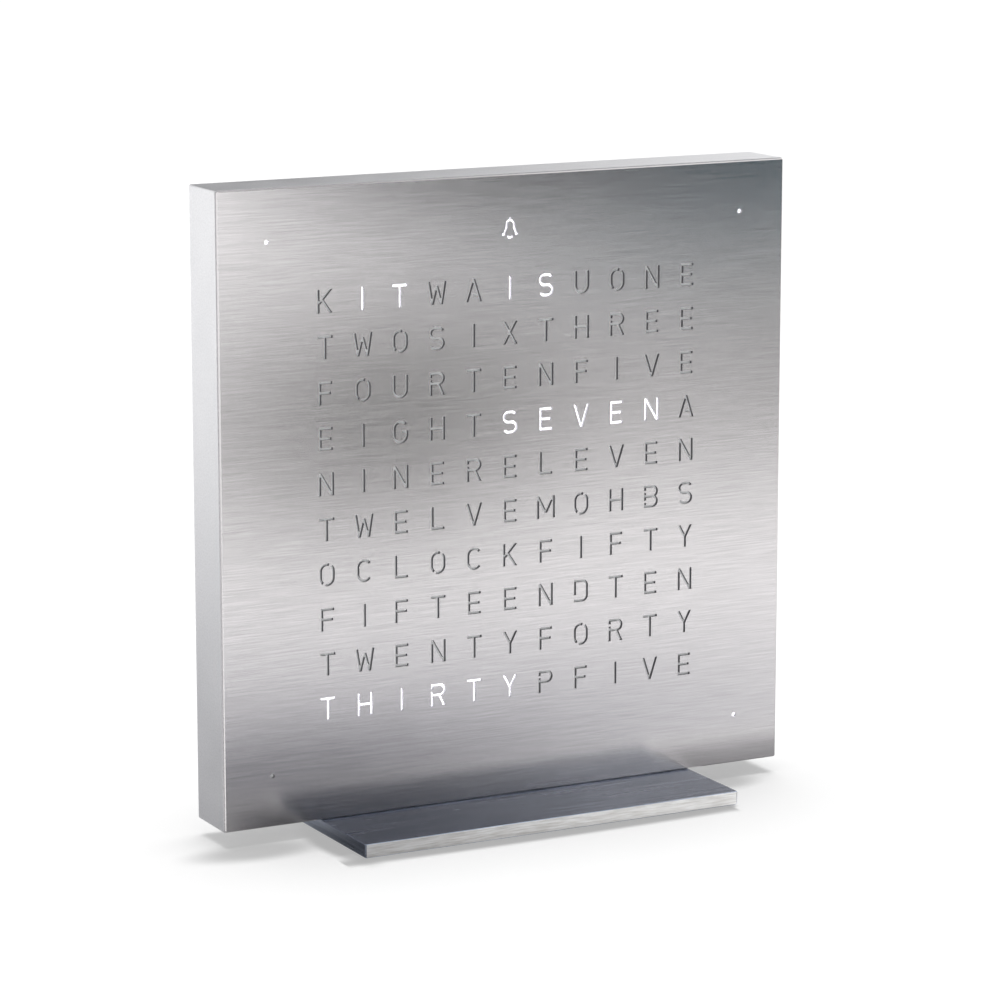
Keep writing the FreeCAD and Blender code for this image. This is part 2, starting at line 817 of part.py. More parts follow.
def board_screws():
    return group([pan_screw(x, z, board_back, board_screw_length) for x, z in spacer_places])


def board_connector():
    """Plug and socket that join the two boards."""
    return block(0, board_top - link_drop, link_width, link_height, lamp_board_back, board_front)


def processor():
    return on_board(processor_x, button_place, processor_size, processor_size, processor_height)


def clock_chip():
    return on_board(processor_x, clock_chip_z, clock_chip_width, clock_chip_height,
                    small_chip_thick)


def crystal():
    """The quartz crystal that keeps the time, below the clock chip."""
    return on_board(processor_x, crystal_z, crystal_width, crystal_height, crystal_thick)


def tap_sensor():
    """Feels a tap on the top of the clock, which stops the alarm for a while."""
    return on_board(-processor_x, clock_chip_z, tap_sensor_size, tap_sensor_size,
                    small_chip_thick)


def regulator():
    return on_board(regulator_x, jack_place, regulator_size, regulator_size, small_chip_thick)


def choke():
    return disc(choke_x, jack_place, choke_diameter, board_back, board_back + choke_thick)


def capacitors():
    """A row of capacitors above the regulator and the choke."""
    first = regulator_x - regulator_size / 2 + capacitor_length / 2
    return group([on_board(first + number * capacitor_pitch, capacitor_z, capacitor_length,
                           capacitor_width, capacitor_thick)
                  for number in range(capacitor_count)])


def buzzer():
    """Alarm sounder, with its port towards the sound holes in the rear cover."""
    x, z = buzzer_place
    case = on_board(x, z, buzzer_size, buzzer_size, buzzer_thick)
    port = disc(x, z, buzzer_port, board_back + buzzer_thick / 2, board_back + buzzer_thick)
    return case.cut(port)


# ---- Standby cell ---------------------------------------------------------------------
def cell_holder():
    """Round cup on the back of the lamp board for the cell that keeps the time."""
    outer = cell_diameter + 2 * (cell_gap + holder_wall)
    cell_floor = lamp_board_back + holder_floor
    cup = disc(cell_x, cell_z, outer, lamp_board_back, cell_floor + cell_thick)
    return cup.cut(disc(cell_x, cell_z, cell_diameter + 2 * cell_gap,
                        cell_floor, cell_floor + cell_thick))


def coin_cell():
    cell_floor = lamp_board_back + holder_floor
    return disc(cell_x, cell_z, cell_diameter, cell_floor, cell_floor + cell_thick)


def cell_clip():
    """Steel strip over the cell, bent down to the board on both sides of the holder."""
    cell_back = lamp_board_back + holder_floor + cell_thick
    span = cell_diameter + 2 * (2 * cell_gap + holder_wall + clip_thick)
    strip = block(cell_x, cell_z, span, clip_width, cell_back, cell_back + clip_thick)
    for side in (-1, 1):
        leg_x = cell_x + side * (span - clip_thick) / 2
        foot_x = cell_x + side * (span + clip_foot - clip_thick) / 2
        strip = strip.fuse(block(leg_x, cell_z, clip_thick, clip_width,
                                 lamp_board_back, cell_back))
        strip = strip.fuse(block(foot_x, cell_z, clip_foot, clip_width,
                                 lamp_board_back, lamp_board_back + clip_thick))
    return strip.removeSplitter()


# ---- Power inlet ----------------------------------------------------------------------
def power_inlet():
    """Round low-voltage socket, flush with the rear cover."""
    case = block(0, jack_place, jack_size, jack_size, rear_y - jack_length, rear_inside)
    case = case.fuse(disc(0, jack_place, jack_nose, rear_inside, rear_y)).removeSplitter()
    return case.cut(disc(0, jack_place, jack_bore, rear_y - jack_bore_depth, rear_y))


def inlet_pin():
    """Centre contact, standing on the floor of the socket's bore."""
    return disc(0, jack_place, jack_pin_diameter, rear_y - jack_bore_depth,
                rear_y - jack_pin_setback)


# ---- Buttons and rear cover -----------------------------------------------------------
def button(x, z):
    """Push button: a cap through the rear cover, a flange that keeps it in, and a stem."""
    flange_back = rear_inside - flange_gap
    flange_front = flange_back - flange_thick
    switch_top = board_back + switch_thick
    cap_body = disc(x, z, button_diameter, flange_back, rear_y + button_proud)
    crown = edges_at(cap_body, lambda p: p.y > rear_y)
    cap_body = cap_body.makeFillet(button_edge, crown)
    flange = disc(x, z, flange_diameter, flange_front, flange_back)
    stem = disc(x, z, stem_diameter, switch_top - stem_entry, flange_front)
    return cap_body.fuse(flange).fuse(stem).removeSplitter()


def switches():
    """One push switch per button, with a well that the button's stem presses into."""
    solids = []
    for x, z in button_places:
        case = on_board(x, z, switch_size, switch_size, switch_thick)
        top = board_back + switch_thick
        solids.append(case.cut(disc(x, z, switch_well, top - switch_well_depth, top)))
    return group(solids)


def rear_cover():
    """Moulded cover let into the back of the frame, with holes for the buttons, the power
    inlet and the sound."""
    side = rear_side - 2 * rear_gap
    holes = [circle(x, z, button_diameter + 2 * button_gap) for x, z in button_places]
    holes.append(circle(0, jack_place, jack_nose + 2 * nose_gap))
    x, z = buzzer_place
    holes += [circle(x + a, z + b, sound_hole)
              for a in along(sound_count, sound_pitch) for b in along(sound_count, sound_pitch)]
    cover = sheet(square(0, 0, side, side), holes, rear_inside, rear_y)
    cover = cover.makeChamfer(min(rear_cover_edge, rear_thick / 2), rim_at(cover, side, rear_y))
    for x, z in post_places:
        hole = sink(small_thread, small_head, small_head_height, rear_thick)
        cover = cover.cut(faced_back(hole, x, z, rear_y))
    return cover


def rear_screws():
    return group([faced_back(flush_screw(small_thread, small_head, small_head_height,
                                         rear_screw_length), x, z, rear_y)
                  for x, z in post_places])


# ---- Base -----------------------------------------------------------------------------
def base_plate():
    """Brushed steel plate that the body stands on, with countersunk holes from below."""
    plate = Part.makeBox(base_width, base_depth, base_thick,
                         Vec(-base_width / 2, -base_depth / 2, pad_thick))
    uprights = [edge for edge in plate.Edges
                if abs(edge.Vertexes[0].Z - edge.Vertexes[1].Z) > base_thick / 2]
    plate = plate.makeFillet(base_corner, uprights)
    level = [edge for edge in plate.Edges
             if abs(edge.Vertexes[0].Z - edge.Vertexes[1].Z) < base_thick / 2]
    plate = plate.makeChamfer(min(base_edge, base_thick / 4), level)
    for x in along(base_screw_count, base_screw_pitch):
        hole = sink(base_thread, base_head, base_head_height, base_thick)
        plate = plate.cut(faced_down(hole, x, base_screw_y, pad_thick))
    return plate


def base_screws():
    return group([faced_down(flush_screw(base_thread, base_head, base_head_height,
                                         base_screw_length), x, base_screw_y, pad_thick)
                  for x in along(base_screw_count, base_screw_pitch)])


def base_pad():
    """Thin rubber sheet under the base plate that keeps it from slipping."""
    return Part.makeBox(base_width - 2 * pad_inset, base_depth - 2 * pad_inset, pad_thick,
                        Vec(pad_inset - base_width / 2, pad_inset - base_depth / 2, 0))


# ---- Assembly -------------------------------------------------------------------------
body_pieces = {
    "front_cover": front_cover(),
    "cover_magnets": cover_magnets(),
    "diffuser": diffuser(),
    "light_grid": light_grid(),
    "lamp_board": lamp_board(),
    "letter_lamps": letter_lamps(),
    "minute_lamps": minute_lamps(),
    "alarm_lamp": alarm_lamp(),
    "light_sensor": light_sensor(),
    "lamp_board_screws": lamp_board_screws(),
    "driver_chips": driver_chips(),
    "frame": frame(),
    "controller_board": controller_board(),
    "board_spacers": board_spacers(),
    "board_screws": board_screws(),
    "board_connector": board_connector(),
    "processor": processor(),
    "clock_chip": clock_chip(),
    "crystal": crystal(),
    "tap_sensor": tap_sensor(),
    "regulator": regulator(),
    "choke": choke(),
    "capacitors": capacitors(),
    "buzzer": buzzer(),
    "cell_holder": cell_holder(),
    "coin_cell": coin_cell(),
    "cell_clip": cell_clip(),
    "power_inlet": power_inlet(),
    "inlet_pin": inlet_pin(),
    "switches": switches(),
    "rear_cover": rear_cover(),
    "rear_screws": rear_screws(),
}
for name, (x, z) in zip(("minute_button", "mode_button", "hour_button"), button_places):
    body_pieces[name] = button(x, z)
for shape in body_pieces.values():
    shape.translate(Vec(0, 0, face_middle))

base_pieces = {
    "base_plate": base_plate(),
    "base_screws": base_screws(),
    "base_pad": base_pad(),
}

for name, shape in {**body_pieces, **base_pieces}.items():
    shape.exportStep("parts/" + name + ".step")
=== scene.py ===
import math

import bmesh
import bpy
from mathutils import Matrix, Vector


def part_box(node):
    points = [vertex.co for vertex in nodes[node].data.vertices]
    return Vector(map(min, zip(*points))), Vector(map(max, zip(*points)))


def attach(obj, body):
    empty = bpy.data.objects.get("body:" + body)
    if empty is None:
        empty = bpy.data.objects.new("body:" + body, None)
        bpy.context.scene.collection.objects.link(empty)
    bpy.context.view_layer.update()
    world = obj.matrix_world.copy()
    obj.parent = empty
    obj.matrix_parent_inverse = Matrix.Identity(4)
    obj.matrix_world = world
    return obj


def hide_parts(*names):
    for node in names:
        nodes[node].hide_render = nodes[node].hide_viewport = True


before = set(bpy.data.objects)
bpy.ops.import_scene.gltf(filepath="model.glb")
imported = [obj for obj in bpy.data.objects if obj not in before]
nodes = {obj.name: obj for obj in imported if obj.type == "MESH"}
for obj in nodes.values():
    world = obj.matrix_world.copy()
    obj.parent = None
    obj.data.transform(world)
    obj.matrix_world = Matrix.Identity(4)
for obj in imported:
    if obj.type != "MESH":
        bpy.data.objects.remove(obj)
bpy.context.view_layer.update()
bpy.ops.object.select_all(action="DESELECT")

MM = 0.001


# ---- Camera ---------------------------------------------------------------------------------
# A long lens, higher than the top of the clock and to the left of its face.
view_azimuth = math.radians(-27.72)
view_elevation = math.radians(11.17)
view_distance = 852.8 * MM
aim = Vector((1.2, 0, 67.2)) * MM

back = Vector((
    math.sin(view_azimuth) * math.cos(view_elevation),
    -math.cos(view_azimuth) * math.cos(view_elevation),
    math.sin(view_elevation),
))
bpy.ops.object.camera_add(location=aim + back * view_distance)
camera = bpy.context.object
camera.rotation_mode = "QUATERNION"
camera.rotation_quaternion = (-back).to_track_quat("-Z", "Y")
camera.data.sensor_width = 36
camera.data.lens = 142.4
camera.data.clip_start = 0.05
bpy.context.scene.camera = camera


# ---- Frame ----------------------------------------------------------------------------------
# One ring of aluminium, milled from the solid and blasted with fine glass beads, which
# leaves an even, dull grain. It carries everything else, and nothing holds it but the base.
blasted_light = "#f6f6f8"
blasted_dark = "#eaeaec"
bead_size = 0.35 * MM        # real grain is nearer 0.1 mm, and is drawn coarser to show
bead_depth = 0.02 * MM
blast_smooth = 0.42          # roughness, from patch to patch
blast_dull = 0.48
blast_patch = 9 * MM         # the jet's passes overlap in faint patches


def linear(code):
    """An sRGB hex colour as linear RGBA."""
    parts = [int(code[i:i + 2], 16) / 255 for i in (1, 3, 5)]
    return [p / 12.92 if p <= 0.04045 else ((p + 0.055) / 1.055) ** 2.4 for p in parts] + [1.0]


def add(tree, kind, inputs=None, **settings):
    """Adds a node with its settings. Each input is a value, or a socket that is linked."""
    node = tree.nodes.new(kind)
    for name, value in settings.items():
        setattr(node, name, value)
    for name, value in (inputs or {}).items():
        if isinstance(value, bpy.types.NodeSocket):
            tree.links.new(value, node.inputs[name])
        else:
            node.inputs[name].default_value = value
    return node


def calc(tree, operation, *values, clamp=False):
    """One sum on numbers or sockets."""
    node = add(tree, "ShaderNodeMath", dict(enumerate(values)), operation=operation,
               use_clamp=clamp)
    return node.outputs["Value"]


def finish_of(name, colour, roughness, metallic=0.0):
    """A new material and its shader, with one colour and roughness to start from."""
    made = bpy.data.materials.new(name)
    made.use_nodes = True
    shader = made.node_tree.nodes["Principled BSDF"]
    shader.inputs["Base Color"].default_value = linear(colour)
    shader.inputs["Roughness"].default_value = roughness
    shader.inputs["Metallic"].default_value = metallic
    return made, made.node_tree, shader


def grain(tree, size, detail=2.0, stretch=(1, 1, 1), place=None):
    """Noise with features of a real size in metres, longer along an axis where it is stretched."""
    place = place or add(tree, "ShaderNodeTexCoord").outputs["Object"]
    scale = [1 / (size * factor) for factor in stretch]
    mapped = add(tree, "ShaderNodeMapping", {"Vector": place, "Scale": scale})
    return add(tree, "ShaderNodeTexNoise",
               {"Vector": mapped.outputs["Vector"], "Scale": 1.0, "Detail": detail}).outputs["Fac"]


def between(tree, factor, low, high, start=0.3, end=0.7):
    """Spreads a factor between two numbers."""
    return add(tree, "ShaderNodeMapRange", {
        "Value": factor, "From Min": start, "From Max": end, "To Min": low, "To Max": high,
    }).outputs["Result"]


def tint(tree, factor, first, second):
    """Mixes two hex colours by a factor."""
    ramp = add(tree, "ShaderNodeValToRGB", {"Fac": factor})
    ramp.color_ramp.elements[0].position = 0.3
    ramp.color_ramp.elements[0].color = linear(first)
    ramp.color_ramp.elements[1].position = 0.7
    ramp.color_ramp.elements[1].color = linear(second)
    return ramp.outputs["Color"]


def relief(tree, shader, height, depth):
    """Raises the surface by a height pattern."""
    bump = add(tree, "ShaderNodeBump", {"Height": height, "Distance": depth, "Strength": 1.0})
    tree.links.new(bump.outputs["Normal"], shader.inputs["Normal"])


def dress(name, made):
    """Gives a CAD node its finish."""
    for slot in nodes[name].material_slots:
        slot.material = made


blasted, tree, shader = finish_of("bead_blasted_aluminium", blasted_light, blast_dull, 1.0)
patches = grain(tree, blast_patch, 1.0)
beads = grain(tree, bead_size, 3.0)
tree.links.new(tint(tree, beads, blasted_light, blasted_dark), shader.inputs["Base Color"])
tree.links.new(between(tree, patches, blast_smooth, blast_dull), shader.inputs["Roughness"])
relief(tree, shader, beads, bead_depth)
dress("frame", blasted)


# ---- Magnets --------------------------------------------------------------------------------
# Eight nickel-plated discs pressed into the rim of the frame. They hold the steel cover.
nickel, tree, shader = finish_of("nickel_plated_magnet", "#c8c4ba", 0.22, 1.0)
tree.links.new(between(tree, grain(tree, 2.5 * MM), 0.2, 0.25), shader.inputs["Roughness"])
dress("cover_magnets", nickel)


# ---- Light grid -----------------------------------------------------------------------------
# Moulded in white polycarbonate, so that each cell throws its lamp's light forward and none
# of it sideways. It is clamped between the opal sheet and the lamp board.
grid_white, tree, shader = finish_of("white_polycarbonate", "#f0f0ec", 0.5)
mould = grain(tree, 0.3 * MM)
tree.links.new(tint(tree, grain(tree, 12 * MM), "#efefeb", "#f4f4f1"), shader.inputs["Base Color"])
relief(tree, shader, mould, 0.01 * MM)
dress("light_grid", grid_white)


# ---- Lamp board and lamps -------------------------------------------------------------------
# Glass-epoxy laminate under a solder mask. Its lamps are small ceramic packages with a dot
# of yellow phosphor, soldered to the front; the chips that drive them sit on the back.
track_scale = 4 * MM         # the pattern's bricks are half of this long and a quarter high
track_share = 0.08           # of it is a track's width


def laminate(name, mask, mask_over_copper):
    """Solder mask over copper tracks, which lift the mask and change its shade."""
    made, tree, shader = finish_of(name, mask, 0.35)
    place = add(tree, "ShaderNodeTexCoord")
    tracks = add(tree, "ShaderNodeTexBrick", {
        "Vector": place.outputs["Object"], "Scale": 1 / track_scale,
        "Mortar Size": track_share, "Mortar Smooth": 0.3,
        "Color1": linear(mask), "Color2": linear(mask), "Mortar": linear(mask_over_copper),
    })
    tree.links.new(tracks.outputs["Color"], shader.inputs["Base Color"])
    relief(tree, shader, tracks.outputs["Fac"], 0.03 * MM)
    return made


dress("lamp_board", laminate("white_solder_mask", "#dfe2df", "#cdd1cc"))

ceramic, tree, shader = finish_of("lamp_ceramic_and_phosphor", "#f1eee2", 0.4)
tree.links.new(tint(tree, grain(tree, 0.8 * MM), "#f3f1ea", "#ecd98a"), shader.inputs["Base Color"])
for name in ("letter_lamps", "minute_lamps", "alarm_lamp"):
    dress(name, ceramic)

chip_epoxy, tree, shader = finish_of("black_moulding_epoxy", "#1b1c1e", 0.6)
specks = grain(tree, 0.15 * MM, 4.0)
tree.links.new(tint(tree, specks, "#18191b", "#26282b"), shader.inputs["Base Color"])
relief(tree, shader, specks, 0.01 * MM)
for name in ("light_sensor", "driver_chips", "processor", "clock_chip", "tap_sensor", "regulator",
             "choke", "board_connector", "buzzer"):
    dress(name, chip_epoxy)


# ---- Small screws and spacers ---------------------------------------------------------------
# Turned stainless screws with rolled threads, and brass spacers with a fine lathe mark.
turned_steel, tree, shader = finish_of("turned_stainless_steel", "#b9b9b8", 0.3, 1.0)
tree.links.new(between(tree, grain(tree, 0.2 * MM, stretch=(1, 4, 1)), 0.22, 0.4),
               shader.inputs["Roughness"])
for name in ("lamp_board_screws", "board_screws"):
    dress(name, turned_steel)

brass, tree, shader = finish_of("turned_brass", "#c9a765", 0.25, 1.0)
tree.links.new(between(tree, grain(tree, 0.2 * MM, stretch=(4, 1, 4)), 0.2, 0.35),
               shader.inputs["Roughness"])
dress("board_spacers", brass)


# ---- Controller board -----------------------------------------------------------------------
# Green laminate behind the lamp board, held off it by four spacers. It carries the clock
# chip, the sounder, the power parts and the switches under the buttons.
dress("controller_board", laminate("green_solder_mask", "#1f5a3c", "#2b6e4a"))

capacitor_ceramic, tree, shader = finish_of("tan_capacitor_ceramic", "#a68a63", 0.4)
tree.links.new(tint(tree, grain(tree, 0.5 * MM), "#a0845e", "#b0946c"), shader.inputs["Base Color"])
dress("capacitors", capacitor_ceramic)

cell_steel, tree, shader = finish_of("drawn_cell_steel", "#c4c4c2", 0.25, 1.0)
tree.links.new(between(tree, grain(tree, 0.25 * MM, stretch=(6, 1, 1)), 0.18, 0.34),
               shader.inputs["Roughness"])
for name in ("coin_cell", "cell_clip", "crystal"):
    dress(name, cell_steel)

black_nylon, tree, shader = finish_of("black_glass_filled_nylon", "#17181a", 0.42)
fibres = grain(tree, 0.2 * MM, 3.0, stretch=(1, 3, 1))
tree.links.new(tint(tree, fibres, "#141517", "#202225"), shader.inputs["Base Color"])
tree.links.new(between(tree, fibres, 0.34, 0.5), shader.inputs["Roughness"])
relief(tree, shader, fibres, 0.008 * MM)
for name in ("cell_holder", "switches"):
    dress(name, black_nylon)


# ---- Power inlet ----------------------------------------------------------------------------
# A moulded socket of black nylon on the lower edge of the boards. Its round nose comes
# through the rear cover, and a turned pin stands in the middle of the bore.
jack_low, jack_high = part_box("power_inlet")
rear_low, rear_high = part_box("rear_cover")
jack_middle = (jack_low.z + jack_high.z) / 2
bore_radius = 1.85 * MM
bore_depth = 9 * MM
nose_radius = 3.2 * MM
nose_root = 0.5 * MM         # how deep the nose starts inside the socket
mouth_flare = 0.35 * MM
inlet_rounding = 0.15 * MM


def pick(test, kind="verts"):
    """Selects the vertices, edges or faces of the mesh in edit mode that pass a test."""
    shape = bmesh.from_edit_mesh(bpy.context.object.data)
    for part in list(shape.verts) + list(shape.edges) + list(shape.faces):
        part.select = False
    for part in getattr(shape, kind):
        if test(part):
            part.select_set(True)
    bmesh.update_edit_mesh(bpy.context.object.data)


def apply(piece, kind, **settings):
    """Adds a modifier to a piece and applies it."""
    modifier = piece.modifiers.new(kind.title(), kind)
    for name, value in settings.items():
        setattr(modifier, name, value)
    bpy.context.view_layer.objects.active = piece
    bpy.ops.object.modifier_apply(modifier=modifier.name)


def settle(piece, body, made, replaced=()):
    """Gives a finished piece its finish, hangs it on the body that it rides on, and hides the CAD
    nodes that it stands for.
    """
    piece.data.materials.clear()
    piece.data.materials.append(made)
    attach(piece, body)
    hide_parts(*replaced)
    bpy.ops.object.select_all(action="DESELECT")


def turned(name, rings, centre, sides=64):
    """A turned piece along +Y: a disc that is extruded and scaled through (radius, y) rings."""
    bpy.ops.object.select_all(action="DESELECT")
    first_radius, first_y = rings[0]
    bpy.ops.mesh.primitive_circle_add(
        vertices=sides, radius=first_radius, fill_type="NGON",
        location=(centre.x, first_y, centre.z), rotation=(math.radians(90), 0, 0))
    piece = bpy.context.object
    piece.name = name
    bpy.ops.object.transform_apply()
    bpy.ops.object.mode_set(mode="EDIT")
    bpy.ops.mesh.select_all(action="SELECT")
    for (radius, y), (next_radius, next_y) in zip(rings, rings[1:]):
        bpy.ops.mesh.extrude_region_move(TRANSFORM_OT_translate={"value": (0, next_y - y, 0)})
        grow = next_radius / radius
        bpy.ops.transform.resize(value=(grow, 1, grow), center_override=(centre.x, next_y, centre.z))
    bpy.ops.mesh.select_all(action="SELECT")
    bpy.ops.mesh.normals_make_consistent(inside=False)
    bpy.ops.object.mode_set(mode="OBJECT")
    return piece


def bake(piece):
    """Puts a piece's place and turn into its mesh."""
    bpy.ops.object.select_all(action="DESELECT")
    piece.select_set(True)
    bpy.ops.object.transform_apply()


def smooth(piece, angle=40):
    """Shades a piece smooth across its gentle edges."""
    bpy.ops.object.select_all(action="DESELECT")
    piece.select_set(True)
    bpy.context.view_layer.objects.active = piece
    bpy.ops.object.shade_smooth_by_angle(angle=math.radians(angle))
    piece.select_set(False)


def cut_away(piece, tool, operation="DIFFERENCE"):
    """Cuts a tool out of a piece, or joins it on, and removes the tool."""
    apply(piece, "BOOLEAN", object=tool, operation=operation, solver="EXACT")
    bpy.data.objects.remove(tool)


bpy.ops.mesh.primitive_cube_add(
    size=1,
    location=(0, (jack_low.y + rear_low.y) / 2, jack_middle),
    scale=(jack_high.x - jack_low.x, rear_low.y - jack_low.y, jack_high.z - jack_low.z))
inlet = bpy.context.object
inlet.name = "inlet_socket"
bpy.ops.object.transform_apply()
apply(inlet, "BEVEL", width=inlet_rounding, segments=2)
jack_centre = Vector((0, 0, jack_middle))
nose = turned("nose", [
    (nose_radius, rear_low.y - nose_root),
    (nose_radius, rear_high.y - inlet_rounding),
    (nose_radius - inlet_rounding, rear_high.y),
], jack_centre)
cut_away(inlet, nose, "UNION")
bore = turned("bore", [
    (bore_radius, rear_high.y - bore_depth),
    (bore_radius, rear_high.y - mouth_flare),
    (bore_radius + mouth_flare, rear_high.y),
    (bore_radius + mouth_flare, rear_high.y + mouth_flare),
], jack_centre)
cut_away(inlet, bore)
smooth(inlet)
settle(inlet, "clock_body", black_nylon, ["power_inlet"])

pin_low, pin_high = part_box("inlet_pin")
pin_radius = (pin_high.x - pin_low.x) / 2
# The tip is a blunt dome, in shares of the pin's radius.
pin = turned("inlet_centre_pin", [
    (pin_radius, pin_low.y),
    (pin_radius, pin_high.y - 0.9 * pin_radius),
    (0.92 * pin_radius, pin_high.y - 0.5 * pin_radius),
    (0.7 * pin_radius, pin_high.y - 0.18 * pin_radius),
    (0.3 * pin_radius, pin_high.y),
], jack_centre, 32)
smooth(pin)
settle(pin, "clock_body", brass, ["inlet_pin"])


# ---- Buttons --------------------------------------------------------------------------------
# Three moulded ABS buttons behind the rear cover. A flange keeps each one in, and its stem
# rests on the switch. The crown is dished for the fingertip.
button_low, button_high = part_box("mode_button")
cap_radius = 3.5 * MM
flange_radius = (button_high.x - button_low.x) / 2
flange_thick = 0.5 * MM
stem_radius = 0.8 * MM
crown_rounding = 0.4 * MM
dish_inset = 1.4 * crown_rounding
dish_depth = 0.3 * MM
dish_steps = 7
flange_back = rear_low.y - 0.05 * MM

satin_abs, tree, shader = finish_of("satin_black_abs", "#232528", 0.38)
sparks = grain(tree, 0.22 * MM, 3.0)
tree.links.new(tint(tree, sparks, "#202225", "#2b2d31"), shader.inputs["Base Color"])
tree.links.new(between(tree, sparks, 0.32, 0.46), shader.inputs["Roughness"])
relief(tree, shader, sparks, 0.006 * MM)

# A quarter round of three steps, and then a shallow bowl down to the middle.
crown = [
    (cap_radius, button_high.y - crown_rounding),
    (cap_radius - 0.12 * crown_rounding, button_high.y - 0.55 * crown_rounding),
    (cap_radius - 0.45 * crown_rounding, button_high.y - 0.15 * crown_rounding),
    (cap_radius - crown_rounding, button_high.y),
]
dish = []
dish_radius = cap_radius - dish_inset
for step in range(dish_steps):
    share = 1 - step / dish_steps
    dish.append((dish_radius * share, button_high.y - dish_depth * (1 - share ** 2)))
for name in ("minute_button", "mode_button", "hour_button"):
    low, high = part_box(name)
    centre = (low + high) / 2
    cap = turned(name + "_cap", [
        (stem_radius, button_low.y),
        (stem_radius, flange_back - flange_thick),
        (flange_radius, flange_back - flange_thick),
        (flange_radius, flange_back),
        (cap_radius, flange_back),
    ] + crown + dish, centre)
    smooth(cap)
    settle(cap, name, satin_abs, [name])


# ---- Rear cover and its screws --------------------------------------------------------------
# A moulded ABS panel with a fine spark-eroded texture, let into the back of the frame and
# held by a countersunk screw in each corner.
rear_texture = 0.28 * MM
rear_cloud = 25 * MM
screw_low, screw_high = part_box("rear_screws")
small_head = 1.8 * MM
small_shank = 0.95 * MM
small_cone = 1.2 * MM
key_radius = small_head / math.sqrt(3)
key_depth = 0.7 * MM
rim = 0.12 * MM

rear_abs, tree, shader = finish_of("spark_textured_black_abs", "#1d1e20", 0.55)
sparks = grain(tree, rear_texture, 4.0)
clouds = grain(tree, rear_cloud)
tree.links.new(tint(tree, clouds, "#1b1c1e", "#242528"), shader.inputs["Base Color"])
tree.links.new(between(tree, sparks, 0.48, 0.64), shader.inputs["Roughness"])
relief(tree, shader, sparks, 0.02 * MM)
dress("rear_cover", rear_abs)

black_steel, tree, shader = finish_of("black_oxide_screw_steel", "#3a3a3c", 0.36, 1.0)
tree.links.new(between(tree, grain(tree, 0.25 * MM), 0.28, 0.46), shader.inputs["Roughness"])


def flush_screw(name, head, shank, cone, length, key):
    """A countersunk screw along +Y, its head's top at the origin, with a hex socket. Head,
    shank and key are radii, and the cone is the head's depth."""
    screw = turned(name, [
        (0.7 * shank, -length),
        (shank, -length + 0.5 * shank),
        (shank, -cone),
        (head, -rim),
        (head, -0.4 * rim),
        (head - 0.6 * rim, 0),
    ], Vector((0, 0, 0)), 48)
    bpy.ops.mesh.primitive_cylinder_add(
        vertices=6, radius=key, depth=2 * key_depth, rotation=(math.radians(90), 0, 0))
    cut_away(screw, bpy.context.object)
    smooth(screw, 30)
    return screw


for number, (x_side, z_side) in enumerate([(-1, -1), (1, -1), (1, 1), (-1, 1)]):
    screw = flush_screw(f"rear_screw_{number + 1}", small_head, small_shank, small_cone,
                        screw_high.y - screw_low.y, key_radius)
    middle = (screw_low + screw_high) / 2
    screw.location = (
        x_side * (screw_high.x - small_head),
        screw_high.y,
        middle.z + z_side * (screw_high.z - middle.z - small_head),
    )
    bake(screw)
    settle(screw, "clock_body", black_steel, ["rear_screws"])


# ---- Opal sheet -----------------------------------------------------------------------------
# Acrylic sheet in front of the light grid. It is milky all through, so a lit cell glows as an
# even patch behind its letter, and the others look grey through the slots.
opal_low, opal_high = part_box("diffuser")
lamp_low, lamp_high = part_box("alarm_lamp")
field_low, field_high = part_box("letter_lamps")
dot_low, dot_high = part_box("minute_lamps")
columns = 11
rows = 10
grid_wall = 0.8 * MM
dot_cell = 4 * MM
bell_cell_height = 6.4 * MM
opal_corner = 2.85 * MM
opal_edge = 0.08 * MM
sheet_setback = 0.03 * MM    # behind the front of the CAD sheet, to let the lit skin show
skin_setback = 0.01 * MM
skin_thick = 0.04 * MM
glow = 15.0                  # on the walls of the slots; the eye sees the patch at seen_glow
bell_glow = 25.0             # behind the finer strokes of the bell
seen_glow = 1.2
even_painted_glow = 0.3            # painted glow, the same all over the unlit sheet, which lightens the unlit slots
lit_words = [(0, 1, 2), (0, 5, 6), (3, 5, 9), (9, 0, 5)]     # row, first and last column

lamp_side = lamp_high.x - lamp_low.x
field_side = field_high.x - field_low.x - lamp_side
pitch_x = field_side / (columns - 1)
pitch_z = field_side / (rows - 1)
field_left = field_low.x + lamp_side / 2
field_top = field_high.z - lamp_side / 2
dot_x = dot_high.x - lamp_side / 2
dot_bottom = dot_low.z + lamp_side / 2
dot_top = dot_high.z - lamp_side / 2
bell_z = (lamp_low.z + lamp_high.z) / 2

lit_cells = []
for row, first, last in lit_words:
    for column in range(first, last + 1):
        lit_cells.append((field_left + column * pitch_x, field_top - row * pitch_z,
                          pitch_x - grid_wall, pitch_z - grid_wall))
lit_cells.append((0, bell_z, pitch_x - grid_wall, bell_cell_height))
for x, z in ((-dot_x, dot_top), (dot_x, dot_top), (dot_x, dot_bottom)):
    lit_cells.append((x, z, dot_cell, dot_cell))


def seen(tree):
    """1 for rays that end in a picture: straight, by a reflection or through glass."""
    path = add(tree, "ShaderNodeLightPath").outputs
    mirrored = calc(tree, "MAXIMUM", path["Is Camera Ray"], path["Is Glossy Ray"])
    shown = calc(tree, "MAXIMUM", mirrored, path["Is Transmission Ray"])
    scattered = calc(tree, "MINIMUM", path["Diffuse Depth"], 1)
    return calc(tree, "SUBTRACT", shown, scattered, clamp=True)


opal, tree, shader = finish_of("opal_acrylic", "#e9eae8", 0.45)
tree.links.new(tint(tree, grain(tree, 6 * MM), "#e7e8e6", "#ececea"), shader.inputs["Base Color"])
# The unlit sheet carries a faint painted glow, even all over it.
shader.inputs["Emission Color"].default_value = linear("#f4f6f8")
shader.inputs["Emission Strength"].default_value = even_painted_glow


